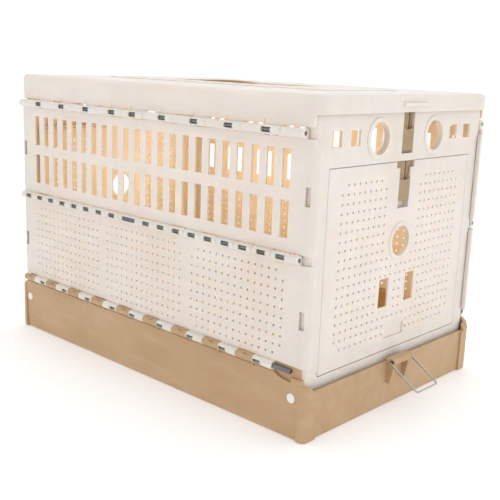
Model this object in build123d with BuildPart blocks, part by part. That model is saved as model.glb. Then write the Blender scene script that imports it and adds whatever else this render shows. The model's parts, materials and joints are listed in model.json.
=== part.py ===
"""Foldable pet transport carrier: tray, four hinged side panels, lid, two end walls with doors.

Millimetres. +X is the front door end, +Y the right-hand side, +Z up. The origin is the centre of
the tray's underside. The mouldings are the same at both ends and on both sides: the rear and
right-hand pieces are the front and left-hand ones turned half way round the vertical axis.
"""
import os

from build123d import *

os.makedirs("parts", exist_ok=True)

# Overall size
LENGTH = 540.0
WIDTH = 345.0
HEIGHT = 370.0
CORNER = 10.0

# Base tray
TRAY_LENGTH = 542.8
TRAY_WALL = 2.6
TRAY_FLOOR = 3.0
TRAY_END_RIM = 56.4
TRAY_SIDE_RIM = 71.5
TRAY_FLARE = 2.3
POST_LENGTH = 547.6
POST_WIDTH = 350.8
POST_CORNER = 8.0
POST_START_X = 263.0
POST_START_Y = 155.0
TROUGH_START = 228.0
TROUGH_END = 252.2
TROUGH_RIM = 66.0

# Long hinges: axis height of each, and how far out of the middle they stand
HINGE_Y = 174.5
TOP_HINGE_Z = 331.0
MID_HINGE_Z = 200.4
LOW_HINGE_Z = 77.7
KNUCKLE_R = 4.75
ROD_R = 2.5
ROD_FIT = 0.05
ROD_BORE_R = ROD_R + ROD_FIT
SKIN = 2.5
SIDE_FACE = WIDTH / 2
WINDOW_H = 5.6

# Side panels
FLANGE_W = 9.5
FLANGE_T = 5.0
PANEL_CORNER = 8.0
LOWER_PANEL_Z = (83.0, 194.9)
UPPER_PANEL_Z = (205.9, 325.3)
UPPER_FLANGE_TOP = 320.0
SLOT_COUNT = 22
SLOT_PITCH = 21.9
SLOT_W = 11.6
SLOT_H = 40.2
SLOT_ROWS_Z = (293.4, 240.1)
TAB_SLOT_X = 260.4
TAB_SLOT_W = 7.0
TAB_SLOT_H = 20.0
LOWER_TAB_Z = 135.5
UPPER_TAB_Z = 267.0
VENT_R = 1.6
VENT_PITCH_X = 10.06
VENT_PITCH_Z = 10.33
VENT_COLUMNS = 15
VENT_ROWS = 10
VENT_GROUP_SPACING = 161.9
VENT_GROUP_Z = 137.6

# Lid
LID_SKIN = 2.5
LID_CORNER = 12.0
LID_TOP_RADIUS = 6.0
LID_SIDE_SKIRT_Z = 337.2
LID_END_SKIRT_Z = 350.0
CATCH_HALF = 24.0
PLATFORM_L = 400.0
PLATFORM_W = 150.0
PLATFORM_RISE = 1.2
WELL_L = 226.0
WELL_W = 62.0
WELL_D = 14.5

# Lid handle
HANDLE_HALF = 99.0
HANDLE_PIVOT_Y = 20.0
HANDLE_PIVOT_Z = 364.4
HANDLE_GRIP_Y = -19.0
HANDLE_PIN_R = 3.0

# End walls
WALL_FACE = 264.0
WALL_T = 3.0
WALL_HALF = 169.1
WALL_BOTTOM = 41.0
WALL_TOP = 361.0
RAIL_TOP = 66.9
RIM_DEPTH = 12.0
PIVOT_X = 253.3
PIVOT_Z = 48.0
PIN_R = 4.0
PIN_HEAD_R = 5.6
PIN_FACE = 173.9
DOORWAY_HALF = 144.3
DOORWAY_TOP = 294.4
RING_Y = 57.0
RING_Z = 322.0
RING_IN_R = 18.0
RING_OUT_R = 23.0
RING_RISE = 1.0
WALL_RING_DEPTH = 7.7
DOOR_RING_DEPTH = 5.5
SQUARE_Y = (101.0, 134.0)
SQUARE_W = 17.4
SQUARE_H = 16.8
SQUARE_Z = 324.3

# Doors
DOOR_HALF = 143.6
DOOR_BOTTOM = 68.2
DOOR_TOP = 293.6
DOOR_T = 4.5
DOOR_PLATE = 2.6
DOOR_AXIS_X = WALL_FACE - DOOR_T / 2
DOOR_AXIS_Z = 72.1
TRUNNION_R = 2.1
DOOR_HOLE_Z = 200.0
DOOR_VENT_R = 1.6
DOOR_VENT_PITCH = 10.28
DOOR_VENT_COLUMNS = 24
DOOR_VENT_ROWS = 19
DOOR_VENT_TOP = 274.6
PEEP_Y = 27.2
PEEP_W = 19.5
PEEP_H = 35.5
PEEP_Z = 140.5

# Slide latches
LATCH_W = 22.0
LATCH_GRIP_H = 26.0
DOOR_LATCH_Z = (247.8, 293.4)
DOOR_LATCH_TRAVEL = 8.0
WALL_LATCH_Z = (306.2, 352.5)
WALL_LATCH_TRAVEL = 3.0
LATCH_PLAY = 0.4

# Bails
BAIL_AXIS_X = 278.0
BAIL_AXIS_Z = 56.5
BAIL_WIRE_R = 1.2
BAIL_BORE_R = 1.28
BAIL_HALF = 22.2
BAIL_REACH = (39.5, -25.0)
BARREL_HALF = 19.0
BARREL_R = 4.2

# Positions along the length where each lid knuckle's window starts
LID_WINDOWS = [-223.2 + 54.2 * k for k in range(4)] + [-20.2 + 54.55 * k for k in range(5)]
WINDOW_W = 13.0
LID_KNUCKLE_W = 26.4
LOW_KNUCKLES = [-221.0 + 54.15 * k for k in range(9)]
LOW_KNUCKLE_W = 29.0
MID_WINDOWS = [-251.4 + 27.25 * k for k in range(8)] + [7.3 + 27.25 * k for k in range(9)]
MID_CENTRE_WINDOW = (-32.8, -6.8)
HINGE_START = -264.0
HINGE_END = 256.0
KNUCKLE_GAP = 0.35


def half_turn(piece):
    """The same moulding at the other end of the carrier."""
    with BuildPart() as turned:
        add(piece, rotation=(0, 0, 180))
    return turned.part


def spans_between(taken, start, end):
    """The lengths from start to end that the sorted spans in taken leave free."""
    free = []
    at = start
    for low, high in taken:
        if low - at > 4:
            free.append((at, low))
        at = max(at, high)
    if end - at > 4:
        free.append((at, end))
    return free


def lid_knuckle_spans():
    return [(x, x + LID_KNUCKLE_W) for x in LID_WINDOWS]


def upper_top_knuckle_spans():
    return spans_between(lid_knuckle_spans(), HINGE_START, HINGE_END)


def mid_knuckle_spans():
    """Equal knuckles that alternate between the two side panels, each with its own rod window."""
    edges = [HINGE_START] + [x + 20.0 for x in MID_WINDOWS[:8]]
    edges += [x - 7.0 for x in MID_WINDOWS[8:]] + [HINGE_END]
    return list(zip(edges[:-1], edges[1:]))


def low_knuckle_spans():
    return [(x - LOW_KNUCKLE_W / 2, x + LOW_KNUCKLE_W / 2) for x in LOW_KNUCKLES]


def tray_knuckle_spans():
    return spans_between(low_knuckle_spans(), HINGE_START + 3, HINGE_END - 28)


def knuckles(spans, axis_z, web_from, web_outer=SIDE_FACE):
    """A round knuckle and its web for each span, on the left-hand side."""
    web_inner = SIDE_FACE - SKIN
    with BuildPart() as row:
        for low, high in spans:
            a = low + KNUCKLE_GAP
            b = high - KNUCKLE_GAP
            with BuildSketch(Plane.YZ.offset(a)):
                with Locations((-HINGE_Y, axis_z)):
                    Circle(KNUCKLE_R)
                with Locations((-(web_outer + web_inner) / 2, (axis_z + web_from) / 2)):
                    Rectangle(web_outer - web_inner, abs(axis_z - web_from))
            extrude(amount=b - a)
    return row.part


def rod_bore(axis_z):
    """The running hole for a hinge rod, along the whole left-hand side."""
    with BuildPart() as bore:
        with BuildSketch(Plane.YZ.offset(-LENGTH / 2 - 5)):
            with Locations((-HINGE_Y, axis_z)):
                Circle(ROD_BORE_R)
        extrude(amount=LENGTH + 10)
    return bore.part


def rod_windows(starts, width, axis_z, drop=0.0):
    """Openings in the outer face of the knuckles, through which the rod shows."""
    with BuildPart() as windows:
        for x in starts:
            with Locations((x + width / 2, -HINGE_Y - KNUCKLE_R, axis_z + drop)):
                Box(width, 2 * KNUCKLE_R, WINDOW_H)
    return windows.part


def mid_hinge_openings():
    """The middle hinge's rod bore and its row of windows, with one long window at the centre."""
    centre_start, centre_end = MID_CENTRE_WINDOW
    with BuildPart() as openings:
        add(rod_bore(MID_HINGE_Z))
        add(rod_windows(MID_WINDOWS, WINDOW_W, MID_HINGE_Z))
        add(rod_windows([centre_start], centre_end - centre_start, MID_HINGE_Z))
    return openings.part


def tab_slots(z):
    """The two upright slots near the ends of a side panel."""
    with BuildPart() as slots:
        with Locations((-TAB_SLOT_X, -SIDE_FACE, z), (TAB_SLOT_X, -SIDE_FACE, z)):
            Box(TAB_SLOT_W, 12, TAB_SLOT_H)
    return slots.part


def panel_channel(z0, z1, flange0, flange1):
    """A side panel's skin with a return flange, rounded at its free corners, at each end."""
    outer = -SIDE_FACE
    inner = outer + SKIN
    lip = outer + FLANGE_W
    end = LENGTH / 2
    with BuildPart() as channel:
        with BuildSketch(Plane.XY.offset(z0)):
            with BuildLine():
                Polyline(
                    (-end, lip), (-end, outer), (end, outer), (end, lip),
                    (end - FLANGE_T, lip), (end - FLANGE_T, inner),
                    (-end + FLANGE_T, inner), (-end + FLANGE_T, lip), close=True,
                )
            make_face()
        extrude(amount=z1 - z0)
        corners = edges().filter_by(Axis.Z).filter_by(lambda e: e.center().Y < outer + 0.1)
        fillet(corners, PANEL_CORNER)
        for side in (-1, 1):
            with BuildSketch(Plane.YZ.offset(side * (end - FLANGE_T / 2))):
                with Locations((lip, (z0 + z1) / 2)):
                    Rectangle(2 * (FLANGE_W - SKIN), z1 - z0 + 10)
                with Locations((outer, (flange0 + flange1) / 2)):
                    RectangleRounded(2 * FLANGE_W, flange1 - flange0, 6.5, mode=Mode.SUBTRACT)
            extrude(amount=FLANGE_T / 2 + 1, both=True, mode=Mode.SUBTRACT)
    return channel.part


def make_lower_panel():
    left_windows = LOW_KNUCKLES[:4]
    right_windows = [x - LOW_KNUCKLE_W / 2 + 1 for x in LOW_KNUCKLES[4:]]
    with BuildPart() as panel:
        add(panel_channel(*LOWER_PANEL_Z, *LOWER_PANEL_Z))
        add(knuckles(low_knuckle_spans(), LOW_HINGE_Z, LOWER_PANEL_Z[0] + 1))
        add(knuckles(mid_knuckle_spans()[1::2], MID_HINGE_Z, LOWER_PANEL_Z[1] - 1))
        add(rod_bore(LOW_HINGE_Z), mode=Mode.SUBTRACT)
        windows = rod_windows(left_windows + right_windows, 12.0, LOW_HINGE_Z, drop=-1.0)
        add(windows, mode=Mode.SUBTRACT)
        add(mid_hinge_openings(), mode=Mode.SUBTRACT)
        add(tab_slots(LOWER_TAB_Z), mode=Mode.SUBTRACT)
        edge = (VENT_COLUMNS - 1) * VENT_PITCH_X
        with BuildSketch(Plane.XZ.offset(SIDE_FACE + 2)):
            for group in (-1, 0, 1):
                with Locations((group * VENT_GROUP_SPACING, VENT_GROUP_Z)):
                    with GridLocations(VENT_PITCH_X, VENT_PITCH_Z, VENT_COLUMNS - 2, VENT_ROWS):
                        Circle(VENT_R)
                    with GridLocations(edge, VENT_PITCH_Z, 2, VENT_ROWS - 2):
                        Circle(VENT_R)
        extrude(amount=-8, mode=Mode.SUBTRACT)
    return panel.part


def make_upper_panel():
    with BuildPart() as panel:
        add(panel_channel(*UPPER_PANEL_Z, UPPER_PANEL_Z[0], UPPER_FLANGE_TOP))
        add(knuckles(upper_top_knuckle_spans(), TOP_HINGE_Z, UPPER_PANEL_Z[1] - 1))
        add(knuckles(mid_knuckle_spans()[0::2], MID_HINGE_Z, UPPER_PANEL_Z[0] + 1))
        add(rod_bore(TOP_HINGE_Z), mode=Mode.SUBTRACT)
        add(mid_hinge_openings(), mode=Mode.SUBTRACT)
        add(tab_slots(UPPER_TAB_Z), mode=Mode.SUBTRACT)
        with BuildSketch(Plane.XZ.offset(SIDE_FACE + 2)):
            for z in SLOT_ROWS_Z:
                with Locations((0, z)):
                    with GridLocations(SLOT_PITCH, 1, SLOT_COUNT, 1):
                        Rectangle(SLOT_W, SLOT_H)
        extrude(amount=-8, mode=Mode.SUBTRACT)
    return panel.part


def make_rod(axis_z, start, end):
    with BuildPart() as rod:
        with BuildSketch(Plane.YZ.offset(start)):
            with Locations((-HINGE_Y, axis_z)):
                Circle(ROD_R)
        extrude(amount=end - start)
        chamfer(edges().filter_by(GeomType.CIRCLE), 0.5)
    return rod.part


def make_lid():
    with BuildPart() as lid:
        with BuildSketch(Plane.XY.offset(LID_SIDE_SKIRT_Z)):
            RectangleRounded(LENGTH, WIDTH, LID_CORNER)
        extrude(amount=HEIGHT - LID_SIDE_SKIRT_Z)
        fillet(faces().sort_by(Axis.Z)[-1].edges(), LID_TOP_RADIUS)
        with BuildSketch(Plane.XY.offset(LID_SIDE_SKIRT_Z)):
            RectangleRounded(LENGTH - 2 * LID_SKIN, WIDTH - 2 * LID_SKIN, LID_CORNER - LID_SKIN)
        extrude(amount=HEIGHT - LID_SKIN - LID_SIDE_SKIRT_Z, mode=Mode.SUBTRACT)
        # the end skirts are shallower: the step is rounded just short of each corner
        for side in (-1, 1):
            with BuildSketch(Plane.XZ.offset(-WIDTH)):
                with BuildLine():
                    Polyline(
                        (side * 262, LID_SIDE_SKIRT_Z - 2), (side * 262, LID_SIDE_SKIRT_Z),
                        (side * 266, LID_SIDE_SKIRT_Z + 3), (side * 268.5, LID_SIDE_SKIRT_Z + 8),
                        (side * 268.8, LID_END_SKIRT_Z), (side * 280, LID_END_SKIRT_Z),
                        (side * 280, LID_SIDE_SKIRT_Z - 2), close=True,
                    )
                make_face()
            extrude(amount=2 * WIDTH, mode=Mode.SUBTRACT)
            with Locations((side * LENGTH / 2, 0, (LID_SIDE_SKIRT_Z + LID_END_SKIRT_Z) / 2)):
                Box(20, WIDTH - 2 * LID_SKIN, LID_END_SKIRT_Z - LID_SIDE_SKIRT_Z, mode=Mode.SUBTRACT)
            # catch ledge that the tray's wire bail hooks over when folded
            with Locations((side * (LENGTH / 2 + 1.2), 0, 358.5)):
                Box(4.6, 2 * CATCH_HALF, 3.6)
        # raised platform and the well that the handle lies in
        with BuildSketch(Plane.XY.offset(HEIGHT - 0.5)):
            RectangleRounded(PLATFORM_L, PLATFORM_W, 14)
        extrude(amount=PLATFORM_RISE + 0.5)
        with BuildSketch(Plane.XY.offset(HEIGHT - WELL_D - LID_SKIN)):
            RectangleRounded(WELL_L + 2 * LID_SKIN, WELL_W + 2 * LID_SKIN, 10)
        extrude(amount=WELL_D + LID_SKIN)
        with BuildSketch(Plane.XY.offset(HEIGHT - WELL_D)):
            RectangleRounded(WELL_L, WELL_W, 8)
        extrude(amount=WELL_D + PLATFORM_RISE + 1, mode=Mode.SUBTRACT)
        # bores for the handle's two pivot pins, through the ends of the well
        with BuildSketch(Plane.YZ.offset(-WELL_L / 2 - LID_SKIN - 1)):
            with Locations((HANDLE_PIVOT_Y, HANDLE_PIVOT_Z)):
                Circle(HANDLE_PIN_R)
        extrude(amount=WELL_L + 2 * LID_SKIN + 2, mode=Mode.SUBTRACT)
    with BuildPart() as side_hinge:
        add(knuckles(lid_knuckle_spans(), TOP_HINGE_Z, LID_SIDE_SKIRT_Z + 1))
        add(rod_bore(TOP_HINGE_Z), mode=Mode.SUBTRACT)
        add(rod_windows(LID_WINDOWS, WINDOW_W, TOP_HINGE_Z), mode=Mode.SUBTRACT)
    with BuildPart() as whole:
        add(lid.part)
        add(side_hinge.part)
        add(side_hinge.part, rotation=(0, 0, 180))
        # moulding slits in the skirt beside each knuckle
        for turn in (1, -1):
            for x in LID_WINDOWS:
                with Locations((turn * (x - 0.6), -turn * SIDE_FACE, LID_SIDE_SKIRT_Z)):
                    Box(1.0, 2 * LID_SKIN + 1, 9, mode=Mode.SUBTRACT)
    return whole.part


def make_handle():
    """A bow that lies in the lid's well, thickest at the middle of the grip."""
    with BuildPart() as handle:
        reach = HANDLE_PIVOT_Y - HANDLE_GRIP_Y
        with BuildSketch(Plane.XY.offset(HANDLE_PIVOT_Z - 4.5)):
            with Locations((0, (HANDLE_PIVOT_Y + HANDLE_GRIP_Y) / 2 - 2)):
                Rectangle(2 * HANDLE_HALF + 16, reach + 16)
            with Locations((0, HANDLE_PIVOT_Y - 7)):
                Rectangle(2 * HANDLE_HALF - 16, reach + 10, mode=Mode.SUBTRACT)
        extrude(amount=9.0)
        fillet(edges().filter_by(Axis.Z), 5.0)
        with BuildSketch(Plane.XZ.offset(-HANDLE_GRIP_Y + 9)):
            with BuildLine():
                Line((-82, HANDLE_PIVOT_Z + 3), (82, HANDLE_PIVOT_Z + 3))
                ThreePointArc(
                    (82, HANDLE_PIVOT_Z + 3), (0, HANDLE_PIVOT_Z + 9.5), (-82, HANDLE_PIVOT_Z + 3)
                )
            make_face()
        extrude(amount=-18)
        with BuildSketch(Plane.YZ.offset(-HANDLE_HALF - 12)):
            with Locations((HANDLE_PIVOT_Y, HANDLE_PIVOT_Z)):
                Circle(HANDLE_PIN_R + ROD_FIT)
        extrude(amount=2 * HANDLE_HALF + 24, mode=Mode.SUBTRACT)
    return handle.part


def make_handle_pins():
    with BuildPart() as pins:
        length = WELL_L / 2 + LID_SKIN - HANDLE_HALF + 6
        for start in (HANDLE_HALF - 6, -WELL_L / 2 - LID_SKIN):
            with BuildSketch(Plane.YZ.offset(start)):
                with Locations((HANDLE_PIVOT_Y, HANDLE_PIVOT_Z)):
                    Circle(HANDLE_PIN_R)
            extrude(amount=length)
    return pins.part


def tray_posts():
    """The tray's four corner posts, proud of its sides and ends."""
    with BuildPart() as posts:
        with BuildSketch():
            RectangleRounded(POST_LENGTH, POST_WIDTH, POST_CORNER)
        extrude(amount=TRAY_SIDE_RIM)
        fillet(faces().sort_by(Axis.Z)[0].edges(), 2.5)
        tall = 4 * TRAY_SIDE_RIM
        Box(2 * POST_START_X, 2 * WIDTH, tall, mode=Mode.SUBTRACT)
        Box(2 * LENGTH, 2 * POST_START_Y, tall, mode=Mode.SUBTRACT)
    return posts.part


def tray_flares():
    """The slight outward lean of the tray's long sides."""
    face = SIDE_FACE
    with BuildPart() as flares:
        for side in (-1, 1):
            with BuildSketch(Plane.YZ.offset(-POST_START_X - 1)):
                with BuildLine():
                    Polyline(
                        (side * (face - 1), 3), (side * face, 3),
                        (side * (face + TRAY_FLARE), 64), (side * (face + TRAY_FLARE), 71),
                        (side * (face + TRAY_FLARE - 0.5), TRAY_SIDE_RIM),
                        (side * (face - 1), TRAY_SIDE_RIM), close=True,
                    )
                make_face()
            extrude(amount=2 * POST_START_X + 2)
    return flares.part


def side_cut(points):
    """A left-hand cutter with the given outline, through the side wall and the posts."""
    with BuildPart() as cutter:
        with BuildSketch(Plane.XZ.offset(SIDE_FACE - 12)):
            with BuildLine():
                Polyline(*points, close=True)
            make_face()
        extrude(amount=20)
    return cutter.part


def trough():
    """Where the bottom rod's front end lies open: a shelf, the upstand behind it, the end stop."""
    with BuildPart() as seat:
        inner = -SIDE_FACE + 2.9
        for x0, x1, outer, top in (
            (TROUGH_START - 0.8, 264.0, -SIDE_FACE - 1.5, TROUGH_RIM),
            (TROUGH_START - 0.8, 262.0, -SIDE_FACE + 0.7, LOWER_PANEL_Z[0] - 0.4),
            (TROUGH_END, 266.0, -SIDE_FACE - TRAY_FLARE, 71.0),
        ):
            with Locations(((x0 + x1) / 2, (outer + inner) / 2, (62 + top) / 2)):
                Box(x1 - x0, inner - outer, top - 62)
    return seat.part


def bail_bracket():
    """The barrel that holds a bail, on two ribs, with the wire's ends let in."""
    with BuildPart() as bracket:
        with BuildSketch(Plane.XZ.offset(-BARREL_HALF)):
            with Locations((BAIL_AXIS_X, BAIL_AXIS_Z)):
                Circle(BARREL_R)
            with BuildLine():
                Polyline(
                    (270, BAIL_AXIS_Z + BARREL_R), (BAIL_AXIS_X, BAIL_AXIS_Z + BARREL_R),
                    (BAIL_AXIS_X, BAIL_AXIS_Z + 0.5), (270, BAIL_AXIS_Z - 2.5), close=True,
                )
            make_face()
        extrude(amount=2 * BARREL_HALF)
        for y in (-BARREL_HALF + 3, BARREL_HALF - 3):
            with BuildSketch(Plane.XZ.offset(-y - 2.2)):
                with BuildLine():
                    Polyline(
                        (270, BAIL_AXIS_Z), (BAIL_AXIS_X + 2.5, BAIL_AXIS_Z - 2),
                        (BAIL_AXIS_X + 1.5, BAIL_AXIS_Z - 12), (276.5, 30.5), (275, 29),
                        (270, 28.5), close=True,
                    )
                make_face()
            extrude(amount=4.4)
        with BuildSketch(Plane.XZ.offset(-BARREL_HALF - 1)):
            with Locations((BAIL_AXIS_X, BAIL_AXIS_Z)):
                Circle(BAIL_BORE_R)
        extrude(amount=2 * BARREL_HALF + 2, mode=Mode.SUBTRACT)
        for start in (-BARREL_HALF - 1, BARREL_HALF - 2.5):
            with BuildSketch(Plane.XZ.offset(start)):
                with Locations((BAIL_AXIS_X, BAIL_AXIS_Z)):
                    Circle(BAIL_BORE_R + 1.4)
            extrude(amount=3.5, mode=Mode.SUBTRACT)
    return bracket.part


def make_tray():
    with BuildPart() as tray:
        with BuildSketch():
            RectangleRounded(TRAY_LENGTH, WIDTH, CORNER)
        extrude(amount=TRAY_SIDE_RIM)
        fillet(faces().sort_by(Axis.Z)[0].edges(), 3.0)
        add(tray_posts())
        add(tray_flares())
        with BuildSketch(Plane.XY.offset(TRAY_FLOOR)):
            RectangleRounded(
                TRAY_LENGTH - 2 * TRAY_WALL, WIDTH - 2 * TRAY_WALL, CORNER - TRAY_WALL
            )
        extrude(amount=TRAY_SIDE_RIM, mode=Mode.SUBTRACT)
        # the end rims are lower than the side rims
        for side in (-1, 1):
            with Locations((side * LENGTH / 2, 0, TRAY_END_RIM + 20)):
                Box(20, 2 * SIDE_FACE - 24, 40, mode=Mode.SUBTRACT)
        # rounded fall of the side rim at its rear end, and at its front end past the trough
        rear_fall = side_cut([
            (-259, 80), (-259, 71.5), (-264, 69.5), (-268, 66), (-271.5, 60), (-274.5, 56.4),
            (-280, 56.4), (-280, 80),
        ])
        front_fall = side_cut([
            (TROUGH_START, 80), (TROUGH_START, 71.5), (233, 68.5), (243, TROUGH_RIM),
            (266, 64.3), (269, 62.5), (274.5, 56.4), (280, 56.4), (280, 80),
        ])
        for turn in (0, 180):
            add(rear_fall, rotation=(0, 0, turn), mode=Mode.SUBTRACT)
            add(front_fall, rotation=(0, 0, turn), mode=Mode.SUBTRACT)
        with BuildSketch(Plane.XZ.offset(-SIDE_FACE - 10)):
            with Locations((-PIVOT_X, PIVOT_Z), (PIVOT_X, PIVOT_Z)):
                Circle(PIN_R)
        extrude(amount=2 * SIDE_FACE + 20, mode=Mode.SUBTRACT)
        for side in (-1, 1):
            with BuildSketch(Plane.XZ.offset(side * PIN_FACE)):
                with Locations((-PIVOT_X, PIVOT_Z), (PIVOT_X, PIVOT_Z)):
                    Circle(PIN_HEAD_R + 0.3)
            extrude(amount=side * 5, mode=Mode.SUBTRACT)
    with BuildPart() as side_hinge:
        spans = tray_knuckle_spans()
        add(knuckles(spans, LOW_HINGE_Z, TRAY_SIDE_RIM - 1, SIDE_FACE + 1.5))
        add(rod_bore(LOW_HINGE_Z), mode=Mode.SUBTRACT)
        for low, high in spans:
            with Locations(((low + high) / 2 + 2, -HINGE_Y - 3.0, LOW_HINGE_Z + 6)):
                Box(7, 1.3, 8, mode=Mode.SUBTRACT)
    with BuildPart() as whole:
        add(tray.part)
        # relief notches in the rim below the start of each panel knuckle
        for turn in (1, -1):
            for low, high in low_knuckle_spans():
                with Locations((turn * (low + 1.5), -turn * (SIDE_FACE + TRAY_FLARE), TRAY_SIDE_RIM)):
                    Box(3.0, 2.4, 3.2, mode=Mode.SUBTRACT)
        for turn in (0, 180):
            add(side_hinge.part, rotation=(0, 0, turn))
            add(trough(), rotation=(0, 0, turn))
            add(bail_bracket(), rotation=(0, 0, turn))
    return whole.part


def make_pivot_pins():
    """The four white pins that the end walls turn on, pressed into the tray's sides."""
    with BuildPart() as pins:
        for side in (-1, 1):
            for end in (-PIVOT_X, PIVOT_X):
                with BuildSketch(Plane.XZ.offset(side * (PIN_FACE - 11))):
                    with Locations((end, PIVOT_Z)):
                        Circle(PIN_R)
                extrude(amount=side * 11)
                with BuildSketch(Plane.XZ.offset(side * PIN_FACE)):
                    with Locations((end, PIVOT_Z)):
                        Circle(PIN_HEAD_R)
                extrude(amount=side * 1.4)
        outer = edges().filter_by(GeomType.CIRCLE).filter_by(lambda e: abs(e.center().Y) > PIN_FACE + 1)
        fillet(outer, 0.8)
    return pins.part


def make_wall():
    with BuildPart() as wall:
        inner = WALL_FACE - WALL_T
        # face plate
        with BuildSketch(Plane.YZ.offset(inner)):
            with Locations((0, (WALL_BOTTOM + WALL_TOP) / 2)):
                Rectangle(2 * WALL_HALF, WALL_TOP - WALL_BOTTOM)
        extrude(amount=WALL_T)
        # stiffening rim round the outside and round the doorway
        with BuildSketch(Plane.YZ.offset(WALL_FACE - RIM_DEPTH)):
            with Locations((0, (WALL_BOTTOM + WALL_TOP) / 2)):
                Rectangle(2 * WALL_HALF, WALL_TOP - WALL_BOTTOM)
                Rectangle(2 * WALL_HALF - 6, WALL_TOP - WALL_BOTTOM - 6, mode=Mode.SUBTRACT)
            with Locations((0, (RAIL_TOP + DOORWAY_TOP) / 2)):
                Rectangle(2 * DOORWAY_HALF + 5, DOORWAY_TOP - RAIL_TOP + 5)
        extrude(amount=RIM_DEPTH - WALL_T)
        # bottom rail, rounded, that holds the pivots
        with BuildSketch(Plane.XZ.offset(-WALL_HALF)):
            with BuildLine():
                Polyline(
                    (246.3, WALL_BOTTOM), (WALL_FACE - 3, WALL_BOTTOM), (WALL_FACE - 1.2, WALL_BOTTOM + 2),
                    (WALL_FACE - 0.6, WALL_BOTTOM + 4), (WALL_FACE, WALL_BOTTOM + 12),
                    (WALL_FACE, RAIL_TOP - 3.5), (WALL_FACE - 1, RAIL_TOP - 1),
                    (WALL_FACE - 3, RAIL_TOP), (246.3, RAIL_TOP), close=True,
                )
            make_face()
        extrude(amount=2 * WALL_HALF)
        # doorway
        with BuildSketch(Plane.YZ.offset(WALL_FACE - 30)):
            with Locations((0, (RAIL_TOP + DOORWAY_TOP) / 2)):
                Rectangle(2 * DOORWAY_HALF, DOORWAY_TOP - RAIL_TOP)
        extrude(amount=40, mode=Mode.SUBTRACT)
        # the outer upright edges are cut back to clear the tray's and the lid's rounded corners
        for side in (-1, 1):
            with BuildSketch(Plane.XY.offset(WALL_BOTTOM - 1)):
                with BuildLine():
                    Polyline(
                        (WALL_FACE + 1, side * (WALL_HALF - 5)), (WALL_FACE + 1, side * (WALL_HALF + 1)),
                        (WALL_FACE - 5, side * (WALL_HALF + 1)), (WALL_FACE - 4.5, side * WALL_HALF),
                        (WALL_FACE - 2, side * (WALL_HALF - 1.5)), (WALL_FACE, side * (WALL_HALF - 4)),
                        close=True,
                    )
                make_face()
            extrude(amount=WALL_TOP - WALL_BOTTOM + 2, mode=Mode.SUBTRACT)
        # the foot is undercut so that it swings past the tray's end
        with Locations((WALL_FACE, 0, WALL_BOTTOM)):
            Box(2.4, 2 * WALL_HALF + 2, 4.0, mode=Mode.SUBTRACT)
        # ring holes
        with BuildSketch(Plane.YZ.offset(WALL_FACE + RING_RISE)):
            with Locations((-RING_Y, RING_Z), (RING_Y, RING_Z)):
                Circle(RING_OUT_R)
        extrude(amount=-WALL_RING_DEPTH)
        with BuildSketch(Plane.YZ.offset(WALL_FACE + RING_RISE + 1)):
            with Locations((-RING_Y, RING_Z), (RING_Y, RING_Z)):
                Circle(RING_IN_R)
            for y in SQUARE_Y:
                with Locations((-y, SQUARE_Z), (y, SQUARE_Z)):
                    Rectangle(SQUARE_W, SQUARE_H)
        extrude(amount=-20, mode=Mode.SUBTRACT)
        # guide box for the slide latch, open to the front
        z0 = WALL_LATCH_Z[0] - WALL_LATCH_TRAVEL - 0.3
        with BuildSketch(Plane.YZ.offset(WALL_FACE)):
            with Locations((0, (z0 - 2 + WALL_TOP) / 2)):
                Rectangle(LATCH_W + 2 * LATCH_PLAY + 4, WALL_TOP - z0 + 2)
        extrude(amount=-9.5)
        with BuildSketch(Plane.YZ.offset(WALL_FACE + 1)):
            with Locations((0, (z0 + WALL_TOP + 2) / 2)):
                Rectangle(LATCH_W + 2 * LATCH_PLAY, WALL_TOP + 2 - z0)
        extrude(amount=-8.5, mode=Mode.SUBTRACT)
        # pivot bores and the bearing holes for the door's trunnions
        with BuildSketch(Plane.XZ.offset(-WALL_HALF - 1)):
            with Locations((PIVOT_X, PIVOT_Z)):
                Circle(PIN_R + ROD_FIT)
        extrude(amount=13, mode=Mode.SUBTRACT)
        with BuildSketch(Plane.XZ.offset(WALL_HALF + 1)):
            with Locations((PIVOT_X, PIVOT_Z)):
                Circle(PIN_R + ROD_FIT)
        extrude(amount=-13, mode=Mode.SUBTRACT)
        with BuildSketch(Plane.XZ.offset(-DOORWAY_HALF - 3)):
            with Locations((DOOR_AXIS_X, DOOR_AXIS_Z)):
                Circle(TRUNNION_R + ROD_FIT)
        extrude(amount=2 * DOORWAY_HALF + 6, mode=Mode.SUBTRACT)
    return wall.part


def door_vent_points():
    """The door's vent grid: corners left out, and clear of the latch, hole, peep windows, pocket."""
    points = []
    for row in range(DOOR_VENT_ROWS):
        for column in range(DOOR_VENT_COLUMNS):
            y = (column - (DOOR_VENT_COLUMNS - 1) / 2) * DOOR_VENT_PITCH
            z = DOOR_VENT_TOP - row * DOOR_VENT_PITCH
            at_side = column in (0, DOOR_VENT_COLUMNS - 1)
            at_end = row in (0, DOOR_VENT_ROWS - 1)
            if at_side and at_end:
                continue
            if row == 0 and not 1 <= min(column, DOOR_VENT_COLUMNS - 1 - column) <= 7:
                continue
            if z > DOOR_HOLE_Z - 6 and abs(y) < 3 * DOOR_VENT_PITCH:
                continue
            if (y ** 2 + (z - DOOR_HOLE_Z) ** 2) ** 0.5 < RING_OUT_R + 4:
                continue
            if abs(abs(y) - PEEP_Y) < PEEP_W / 2 + 3.5 and abs(z - PEEP_Z) < PEEP_H / 2 + 3:
                continue
            if abs(y) < 25 and z < 104:
                continue
            points.append((y, z))
    return points


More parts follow.
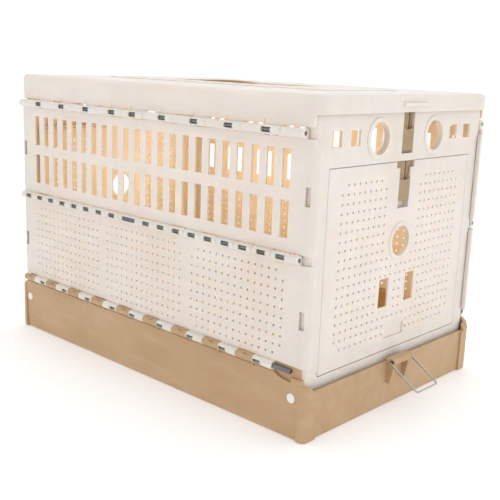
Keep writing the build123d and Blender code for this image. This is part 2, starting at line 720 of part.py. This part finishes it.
def make_door():
    with BuildPart() as door:
        back = WALL_FACE - DOOR_T
        with BuildSketch(Plane.YZ.offset(back)):
            with Locations((0, (DOOR_BOTTOM + DOOR_TOP) / 2)):
                RectangleRounded(2 * DOOR_HALF, DOOR_TOP - DOOR_BOTTOM, 1.5)
            with Locations((0, (DOOR_BOTTOM + 12 + DOOR_TOP - 6) / 2)):
                Rectangle(2 * DOOR_HALF - 12, DOOR_TOP - DOOR_BOTTOM - 18, mode=Mode.SUBTRACT)
            with Locations((0, 89.5)):
                Rectangle(46, 23)
        extrude(amount=DOOR_T)
        with BuildSketch(Plane.YZ.offset(WALL_FACE - DOOR_PLATE)):
            with Locations((0, (DOOR_BOTTOM + DOOR_TOP) / 2)):
                RectangleRounded(2 * DOOR_HALF, DOOR_TOP - DOOR_BOTTOM, 1.5)
        extrude(amount=DOOR_PLATE)
        # stiffening rim on the inside
        with BuildSketch(Plane.YZ.offset(back)):
            with Locations((0, (DOOR_BOTTOM + 12 + DOOR_TOP) / 2)):
                Rectangle(2 * DOOR_HALF - 2, DOOR_TOP - DOOR_BOTTOM - 13)
                Rectangle(2 * DOOR_HALF - 8, DOOR_TOP - DOOR_BOTTOM - 19, mode=Mode.SUBTRACT)
        extrude(amount=-3.5)
        # ring hole
        with BuildSketch(Plane.YZ.offset(WALL_FACE + RING_RISE)):
            with Locations((0, DOOR_HOLE_Z)):
                Circle(RING_OUT_R)
        extrude(amount=-DOOR_RING_DEPTH)
        # latch guide box behind the door
        z0 = DOOR_LATCH_Z[0] - DOOR_LATCH_TRAVEL - 0.3
        with BuildSketch(Plane.YZ.offset(WALL_FACE - 1)):
            with Locations((0, (z0 - 2 + DOOR_TOP) / 2)):
                Rectangle(42, DOOR_TOP - z0 + 2)
        extrude(amount=-DOOR_T - 4.0)
        with BuildSketch(Plane.YZ.offset(WALL_FACE + 1)):
            with Locations((0, (z0 + DOOR_TOP + 2) / 2)):
                Rectangle(LATCH_W + 2 * LATCH_PLAY, DOOR_TOP + 2 - z0)
        extrude(amount=-8.8, mode=Mode.SUBTRACT)
        with BuildSketch(Plane.YZ.offset(WALL_FACE - 3.0)):
            with Locations((0, (277.5 + DOOR_TOP + 2) / 2)):
                Rectangle(36 + 2 * LATCH_PLAY, DOOR_TOP + 2 - 277.5)
        extrude(amount=-4.8, mode=Mode.SUBTRACT)
        with BuildSketch(Plane.YZ.offset(WALL_FACE + 1)):
            with Locations((0, (286.3 + DOOR_TOP + 2) / 2)):
                Rectangle(36 + 2 * LATCH_PLAY, DOOR_TOP + 2 - 286.3)
        extrude(amount=-6, mode=Mode.SUBTRACT)
        # through holes: ring, peep windows, vents
        with BuildSketch(Plane.YZ.offset(WALL_FACE + 2)):
            with Locations((0, DOOR_HOLE_Z)):
                Circle(RING_IN_R)
            with Locations((-PEEP_Y, PEEP_Z), (PEEP_Y, PEEP_Z)):
                RectangleRounded(PEEP_W, PEEP_H, 1.5)
            with Locations(*door_vent_points()):
                Circle(DOOR_VENT_R)
        extrude(amount=-20, mode=Mode.SUBTRACT)
        # finger pocket at the bottom
        with BuildSketch(Plane.YZ.offset(WALL_FACE + 1)):
            with Locations((0, 89.5)):
                Rectangle(42, 15)
        extrude(amount=-3.2, mode=Mode.SUBTRACT)
        # trunnions
        with BuildSketch(Plane.XZ.offset(-DOORWAY_HALF - 2.6)):
            with Locations((DOOR_AXIS_X, DOOR_AXIS_Z)):
                Circle(TRUNNION_R)
        extrude(amount=6)
        with BuildSketch(Plane.XZ.offset(DOORWAY_HALF + 2.6)):
            with Locations((DOOR_AXIS_X, DOOR_AXIS_Z)):
                Circle(TRUNNION_R)
        extrude(amount=-6)
    return door.part


def make_latch(z0, z1, head):
    """A slide latch: proud grip below with a dished top edge, slotted plate above."""
    half = LATCH_W / 2
    grip_top = z0 + LATCH_GRIP_H
    plate_x = WALL_FACE - 6.9
    with BuildPart() as latch:
        with BuildSketch(Plane.YZ.offset(plate_x)):
            with Locations((0, (z0 + grip_top) / 2)):
                Rectangle(LATCH_W, LATCH_GRIP_H)
            with Locations((0, grip_top + 14)):
                Circle(16, mode=Mode.SUBTRACT)
        extrude(amount=6.7)
        with BuildSketch(Plane.YZ.offset(plate_x)):
            with Locations((0, (z0 + 8 + z1) / 2)):
                Rectangle(LATCH_W, z1 - z0 - 8)
            if head:
                with Locations((0, z1 - 3.5)):
                    Rectangle(36, 7)
        extrude(amount=3.4)
        # slot that frees the spring arm on one side of the plate
        with Locations((plate_x + 2, half - 6.2, (grip_top - 2 + z1 + 2) / 2)):
            Box(8, 2.6, z1 - grip_top + 4, mode=Mode.SUBTRACT)
    return latch.part


def make_bail():
    """A bent wire loop whose in-turned ends run in the tray's barrel."""
    x0 = BAIL_AXIS_X
    z0 = BAIL_AXIS_Z
    x1 = x0 + BAIL_REACH[0]
    z1 = z0 + BAIL_REACH[1]
    with BuildPart() as bail:
        with BuildLine() as path:
            FilletPolyline(
                (x0, -8, z0), (x0, -BAIL_HALF, z0), (x1, -BAIL_HALF, z1),
                (x1, BAIL_HALF, z1), (x0, BAIL_HALF, z0), (x0, 8, z0), radius=3.0,
            )
        with BuildSketch(Plane(origin=path.line @ 0, z_dir=path.line % 0)):
            Circle(BAIL_WIRE_R)
        sweep(path=path.line)
    return bail.part


def save(piece, label):
    piece.label = label
    export_step(piece, "parts/" + label + ".step")


save(make_tray(), "base_tray")

lower = make_lower_panel()
upper = make_upper_panel()
save(lower, "left_lower_panel")
save(half_turn(lower), "right_lower_panel")
save(upper, "left_upper_panel")
save(half_turn(upper), "right_upper_panel")

save(make_lid(), "lid")
save(make_handle(), "lid_handle")
save(make_handle_pins(), "handle_pins")

rods = (
    ("top_rod", make_rod(TOP_HINGE_Z, HINGE_START + 1, HINGE_END - 1.2)),
    ("middle_rod", make_rod(MID_HINGE_Z, HINGE_START + 1, HINGE_END - 0.6)),
    ("bottom_rod", make_rod(LOW_HINGE_Z, HINGE_START + 4, TROUGH_END - 0.5)),
)
for name, rod in rods:
    save(rod, "left_" + name)
    save(half_turn(rod), "right_" + name)

save(make_pivot_pins(), "wall_pivot_pins")

wall = make_wall()
door = make_door()
wall_latch = make_latch(*WALL_LATCH_Z, False)
door_latch = make_latch(*DOOR_LATCH_Z, True)
bail = make_bail()
for name, piece in (
    ("wall", wall), ("door", door), ("wall_latch", wall_latch),
    ("door_latch", door_latch), ("bail", bail),
):
    save(piece, "front_" + name)
    save(half_turn(piece), "rear_" + name)
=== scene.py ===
"""Foldable pet transport carrier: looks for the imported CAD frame."""
import json
import math

import bpy
from mathutils import Matrix, Vector


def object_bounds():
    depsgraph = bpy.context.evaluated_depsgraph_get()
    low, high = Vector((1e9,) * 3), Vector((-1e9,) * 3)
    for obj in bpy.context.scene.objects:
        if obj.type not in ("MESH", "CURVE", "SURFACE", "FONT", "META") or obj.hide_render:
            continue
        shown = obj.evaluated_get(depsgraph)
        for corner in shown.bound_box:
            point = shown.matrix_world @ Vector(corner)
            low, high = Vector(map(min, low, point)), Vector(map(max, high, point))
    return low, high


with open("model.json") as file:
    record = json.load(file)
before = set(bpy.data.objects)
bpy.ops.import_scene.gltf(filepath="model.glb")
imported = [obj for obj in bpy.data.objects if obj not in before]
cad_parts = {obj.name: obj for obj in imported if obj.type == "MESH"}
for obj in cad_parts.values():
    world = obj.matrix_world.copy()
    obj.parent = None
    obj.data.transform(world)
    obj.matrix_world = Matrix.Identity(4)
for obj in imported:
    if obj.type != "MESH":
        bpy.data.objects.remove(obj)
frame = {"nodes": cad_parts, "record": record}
cad_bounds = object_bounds()

BEVEL_RAYS = 4
EDGE_RADIUS = 0.0005
# Reach of the AO that paints shade into the tight corners of the mouldings.
CORNER_SHADE_REACH = 0.006
WHITE = (1.0, 1.0, 1.0, 1.0)
RANGE_SOCKETS = ("From Min", "From Max", "To Min", "To Max")


# ---------------------------------------------------------------- materials

class Nodes:
    """Short names for building one material's node tree."""

    def __init__(self, name):
        self.material = bpy.data.materials.new(name)
        self.material.use_nodes = True
        self.tree = self.material.node_tree
        self.tree.nodes.clear()
        self.out = self.tree.nodes.new("ShaderNodeOutputMaterial")
        self.shader = self.tree.nodes.new("ShaderNodeBsdfPrincipled")
        self.join(self.shader.outputs[0], self.out.inputs[0])
        self.place = self.tree.nodes.new("ShaderNodeTexCoord").outputs["Object"]

    def join(self, source, target):
        self.tree.links.new(source, target)

    def new(self, kind, **values):
        node = self.tree.nodes.new(kind)
        for key, value in values.items():
            setattr(node, key, value)
        return node

    def stretched(self, scale):
        """Object coordinates times scale, for a texture with its own grain direction."""
        mapping = self.new("ShaderNodeMapping")
        mapping.inputs["Scale"].default_value = scale
        self.join(self.place, mapping.inputs["Vector"])
        return mapping.outputs[0]

    def noise(self, scale, detail=2.0, rough=0.5, place=None):
        node = self.new("ShaderNodeTexNoise")
        node.inputs["Scale"].default_value = scale
        node.inputs["Detail"].default_value = detail
        node.inputs["Roughness"].default_value = rough
        self.join(place or self.place, node.inputs["Vector"])
        return node.outputs[0]

    def span(self, value, low, high, to_low, to_high):
        """value's range low..high mapped to to_low..to_high and held at the ends."""
        node = self.new("ShaderNodeMapRange")
        self.join(value, node.inputs["Value"])
        for key, number in zip(RANGE_SOCKETS, (low, high, to_low, to_high)):
            node.inputs[key].default_value = number
        return node.outputs[0]

    def maths(self, kind, a, b):
        node = self.new("ShaderNodeMath", operation=kind)
        for slot, value in zip(node.inputs, (a, b)):
            if isinstance(value, (int, float)):
                slot.default_value = value
            else:
                self.join(value, slot)
        return node.outputs[0]

    def blend(self, amount, a, b, kind="MIX"):
        node = self.new("ShaderNodeMix", data_type="RGBA", blend_type=kind)
        for slot, value in ((node.inputs[0], amount), (node.inputs[6], a), (node.inputs[7], b)):
            if isinstance(value, (int, float)):
                slot.default_value = value
            elif isinstance(value, tuple):
                slot.default_value = (*value, 1.0)
            else:
                self.join(value, slot)
        return node.outputs[2]

    def bump(self, height, distance, strength, normal=None):
        node = self.new("ShaderNodeBump")
        node.inputs["Distance"].default_value = distance
        node.inputs["Strength"].default_value = strength
        self.join(height, node.inputs["Height"])
        if normal is not None:
            self.join(normal, node.inputs["Normal"])
        return node.outputs[0]

    def edges(self, radius):
        """1 on sharp edges, 0 on flats, with the rounded normal that makes it."""
        bevel = self.new("ShaderNodeBevel", samples=BEVEL_RAYS)
        bevel.inputs["Radius"].default_value = radius
        face = self.new("ShaderNodeNewGeometry").outputs["Normal"]
        dot = self.new("ShaderNodeVectorMath", operation="DOT_PRODUCT")
        self.join(bevel.outputs[0], dot.inputs[0])
        self.join(face, dot.inputs[1])
        return self.span(dot.outputs["Value"], 0.99, 0.80, 0.0, 1.0), bevel.outputs[0]

    def corners(self, distance):
        """0 in tight corners and 1 in the open."""
        node = self.new("ShaderNodeAmbientOcclusion", samples=BEVEL_RAYS)
        node.inputs["Distance"].default_value = distance
        return node.outputs["AO"]


def moulded(name, colour, deep, pale, rough, grain=0.05, glow=0.0, depth=0.002):
    """Injection-moulded plastic: fine cavity texture, flow mottling, rubbed edges with a painted edge
    highlight, painted shade in corners.
    """
    n = Nodes(name)
    mottle = n.noise(9.0, 3.0, 0.55)
    flow = n.noise(1.0, 4.0, 0.6, n.stretched((14.0, 60.0, 60.0)))
    speck = n.noise(420.0, 2.0, 0.6)
    fine = n.noise(1500.0, 2.0, 0.5)
    tone = n.blend(n.span(mottle, 0.3, 0.7, 0.0, 0.5), colour, deep)
    tone = n.blend(n.span(flow, 0.45, 0.8, 0.0, 0.35), tone, pale)
    tone = n.blend(n.span(speck, 0.66, 0.74, 0.0, 0.25), tone, deep)
    # Pale edges: rubbed wear plus a painted edge highlight, both taken from the bevel-normal edge mask.
    edge_wear_and_highlight, soft_normal = n.edges(EDGE_RADIUS)
    rubbed_and_highlit = n.maths("MULTIPLY", edge_wear_and_highlight, n.span(n.noise(35.0, 3.0), 0.35, 0.65, 0.15, 0.8))
    tone = n.blend(rubbed_and_highlit, tone, pale)
    # Painted shade: the colour darkens towards the deep tone in tight corners found by AO.
    painted_corner_shade = n.span(n.corners(CORNER_SHADE_REACH), 0.25, 0.85, 0.32, 0.0)
    tone = n.blend(painted_corner_shade, tone, deep)
    n.join(tone, n.shader.inputs["Base Color"])
    scuffs = n.noise(1.0, 3.0, 0.7, n.stretched((30.0, 420.0, 420.0)))
    dull = n.maths("ADD", n.span(mottle, 0.3, 0.7, rough - 0.06, rough + 0.06),
                   n.span(scuffs, 0.6, 0.75, 0.0, 0.14))
    n.join(n.maths("SUBTRACT", dull, n.maths("MULTIPLY", rubbed_and_highlit, 0.12)), n.shader.inputs["Roughness"])
    height = n.maths("ADD", n.maths("MULTIPLY", fine, 0.6), n.maths("MULTIPLY", scuffs, 0.25))
    wave = n.bump(n.noise(16.0, 2.0), 0.004, 0.10, soft_normal)
    n.join(n.bump(height, 0.0002, grain * 6, wave), n.shader.inputs["Normal"])
    n.shader.inputs["Specular IOR Level"].default_value = 0.45
    n.shader.inputs["Subsurface Weight"].default_value = glow
    n.shader.inputs["Subsurface Radius"].default_value = (1.0, 0.78, 0.50)
    n.shader.inputs["Subsurface Scale"].default_value = depth
    return n.material


def drawn_steel(name, colour, rough, pitch):
    """Bare or plated steel wire, with drawing lines along its length and faint tarnish."""
    n = Nodes(name)
    lines = n.noise(1.0, 3.0, 0.6, n.stretched(pitch))
    stain = n.noise(55.0, 4.0, 0.6)
    dark = tuple(c * 0.55 for c in colour)
    tone = n.blend(n.span(stain, 0.45, 0.75, 0.0, 0.6), colour, dark)
    tone = n.blend(n.span(lines, 0.35, 0.7, 0.0, 0.35), tone, dark)
    n.join(tone, n.shader.inputs["Base Color"])
    n.join(n.maths("ADD", n.span(stain, 0.3, 0.7, rough, rough + 0.12),
                   n.span(lines, 0.4, 0.7, 0.0, 0.10)), n.shader.inputs["Roughness"])
    n.join(n.bump(lines, 0.0001, 0.25), n.shader.inputs["Normal"])
    n.shader.inputs["Metallic"].default_value = 1.0
    return n.material


ivory = moulded(
    "ivory_moulding", colour=(0.78, 0.745, 0.705), deep=(0.72, 0.63, 0.53), pale=(0.87, 0.83, 0.79),
    rough=0.48, glow=1.0, depth=0.003)
tan = moulded(
    "tan_moulding", colour=(0.55, 0.365, 0.20), deep=(0.42, 0.255, 0.125), pale=(0.70, 0.52, 0.34),
    rough=0.46, glow=0.25, depth=0.002)
khaki = moulded(
    "khaki_moulding", colour=(0.39, 0.265, 0.14), deep=(0.28, 0.18, 0.085), pale=(0.56, 0.44, 0.30),
    rough=0.36, grain=0.03)
white = moulded(
    "white_pin_moulding", colour=(0.86, 0.85, 0.82), deep=(0.70, 0.66, 0.60), pale=(0.93, 0.93, 0.92),
    rough=0.32, grain=0.02)
rod_steel = drawn_steel("rod_steel", colour=(0.20, 0.23, 0.24), rough=0.26, pitch=(60.0, 1500.0, 1500.0))
wire_steel = drawn_steel("wire_steel", colour=(0.55, 0.54, 0.52), rough=0.20, pitch=(300.0, 300.0, 300.0))

FINISH = {
    "ivory_plastic": ivory,
    "tan_plastic": tan,
    "latch_plastic": khaki,
    "white_pin": white,
    "steel_rod": rod_steel,
    "bright_wire": wire_steel,
}
for part in frame["record"]["subparts"]:
    data = frame["nodes"][part["node"]].data
    data.materials.clear()
    data.materials.append(FINISH[part["material_slot"]])


# ---------------------------------------------------------------- studio

def square_floor(name, size, material):
    """A flat square at floor height."""
    half = size / 2
    data = bpy.data.meshes.new(name)
    data.from_pydata(
        [(-half, -half, 0), (half, -half, 0), (half, half, 0), (-half, half, 0)], [], [(0, 1, 2, 3)])
    data.materials.append(material)
    piece = bpy.data.objects.new(name, data)
    bpy.context.scene.collection.objects.link(piece)
    return piece


def softbox(name, where, aim, side, power):
    """A square area light at where, turned towards aim."""
    data = bpy.data.lights.new(name, "AREA")
    data.shape = "RECTANGLE"
    data.size = side
    data.size_y = side
    data.energy = power
    lamp = bpy.data.objects.new(name, data)
    lamp.location = where
    lamp.rotation_mode = "QUATERNION"
    lamp.rotation_quaternion = (Vector(aim) - Vector(where)).to_track_quat("-Z", "Y")
    bpy.context.scene.collection.objects.link(lamp)


def sky(name, back, dim, bright, horizon):
    """A white horizon, with a studio above it that is bright behind the object and dimmer in front."""
    world = bpy.data.worlds.new(name)
    world.use_nodes = True
    tree = world.node_tree
    background = tree.nodes["Background"]
    background.inputs[0].default_value = WHITE
    way = tree.nodes.new("ShaderNodeTexCoord").outputs["Generated"]

    def ramp(direction, start, end, low, high):
        dot = tree.nodes.new("ShaderNodeVectorMath")
        dot.operation = "DOT_PRODUCT"
        dot.inputs[1].default_value = Vector(direction).normalized()
        tree.links.new(way, dot.inputs[0])
        node = tree.nodes.new("ShaderNodeMapRange")
        node.interpolation_type = "SMOOTHSTEP"
        tree.links.new(dot.outputs["Value"], node.inputs["Value"])
        for key, number in zip(RANGE_SOCKETS, (start, end, low, high)):
            node.inputs[key].default_value = number
        return node.outputs[0]

    mix = tree.nodes.new("ShaderNodeMix")
    tree.links.new(ramp((0, 0, 1), 0.22, 0.42, 0.0, 1.0), mix.inputs[0])
    mix.inputs[2].default_value = horizon
    tree.links.new(ramp(back, -0.6, 0.7, dim, bright), mix.inputs[3])
    tree.links.new(mix.outputs[0], background.inputs[1])
    bpy.context.scene.world = world


def inside_glow(name, where, power, colour):
    """Warm light held in the cabin by its thin walls; the lamp itself is out of sight."""
    data = bpy.data.lights.new(name, "POINT")
    data.shadow_soft_size = 0.05
    data.energy = power
    data.color = colour
    lamp = bpy.data.objects.new(name, data)
    lamp.location = where
    lamp.visible_camera = False
    bpy.context.scene.collection.objects.link(lamp)


paper = Nodes("floor_paper")
paper.join(paper.span(paper.noise(3.0), 0.3, 0.7, 0.60, 0.66), paper.shader.inputs["Roughness"])
paper.shader.inputs["Base Color"].default_value = (0.93, 0.93, 0.93, 1.0)
paper.shader.inputs["Specular IOR Level"].default_value = 0.1
paper.shader.inputs["Emission Color"].default_value = WHITE
paper.shader.inputs["Emission Strength"].default_value = 0.20
square_floor("studio_floor", 60.0, paper.material)

sky("studio_world", back=(-0.62, 0.70, 0.40), dim=0.40, bright=1.12, horizon=1.06)
middle_height = (cad_bounds[0][2] + cad_bounds[1][2]) / 2
centre = (0, 0, middle_height)
softbox("overhead_softbox", (0.2, -0.3, 2.2), centre, 2.4, 7)
softbox("front_softbox", (2.4, -1.0, 1.3), centre, 1.8, 8)

for place, x in (("rear", -0.13), ("front", 0.10)):
    inside_glow(f"cabin_glow_{place}", (x, 0.03, 0.23), 0.44, (1.0, 0.74, 0.44))

view = bpy.context.scene.view_settings
view.view_transform = "Standard"
view.look = "None"


# ---------------------------------------------------------------- camera

eye = Vector((0.7736, -0.8116, 0.3983))
forward = Vector((-0.66099, 0.71619, -0.22399)).normalized()
level = forward.cross(Vector((0, 0, 1))).normalized()
roll = Matrix.Rotation(math.radians(-2.19), 3, forward)
right = roll @ level
up = right.cross(forward)
lens = bpy.data.cameras.new("camera")
lens.sensor_width = 36.0
lens.lens = 58.9
camera = bpy.data.objects.new("camera", lens)
camera.rotation_mode = "QUATERNION"
camera.location = eye
camera.rotation_quaternion = Matrix((right, up, -forward)).transposed().to_quaternion()
bpy.context.scene.collection.objects.link(camera)
bpy.context.scene.camera = camera
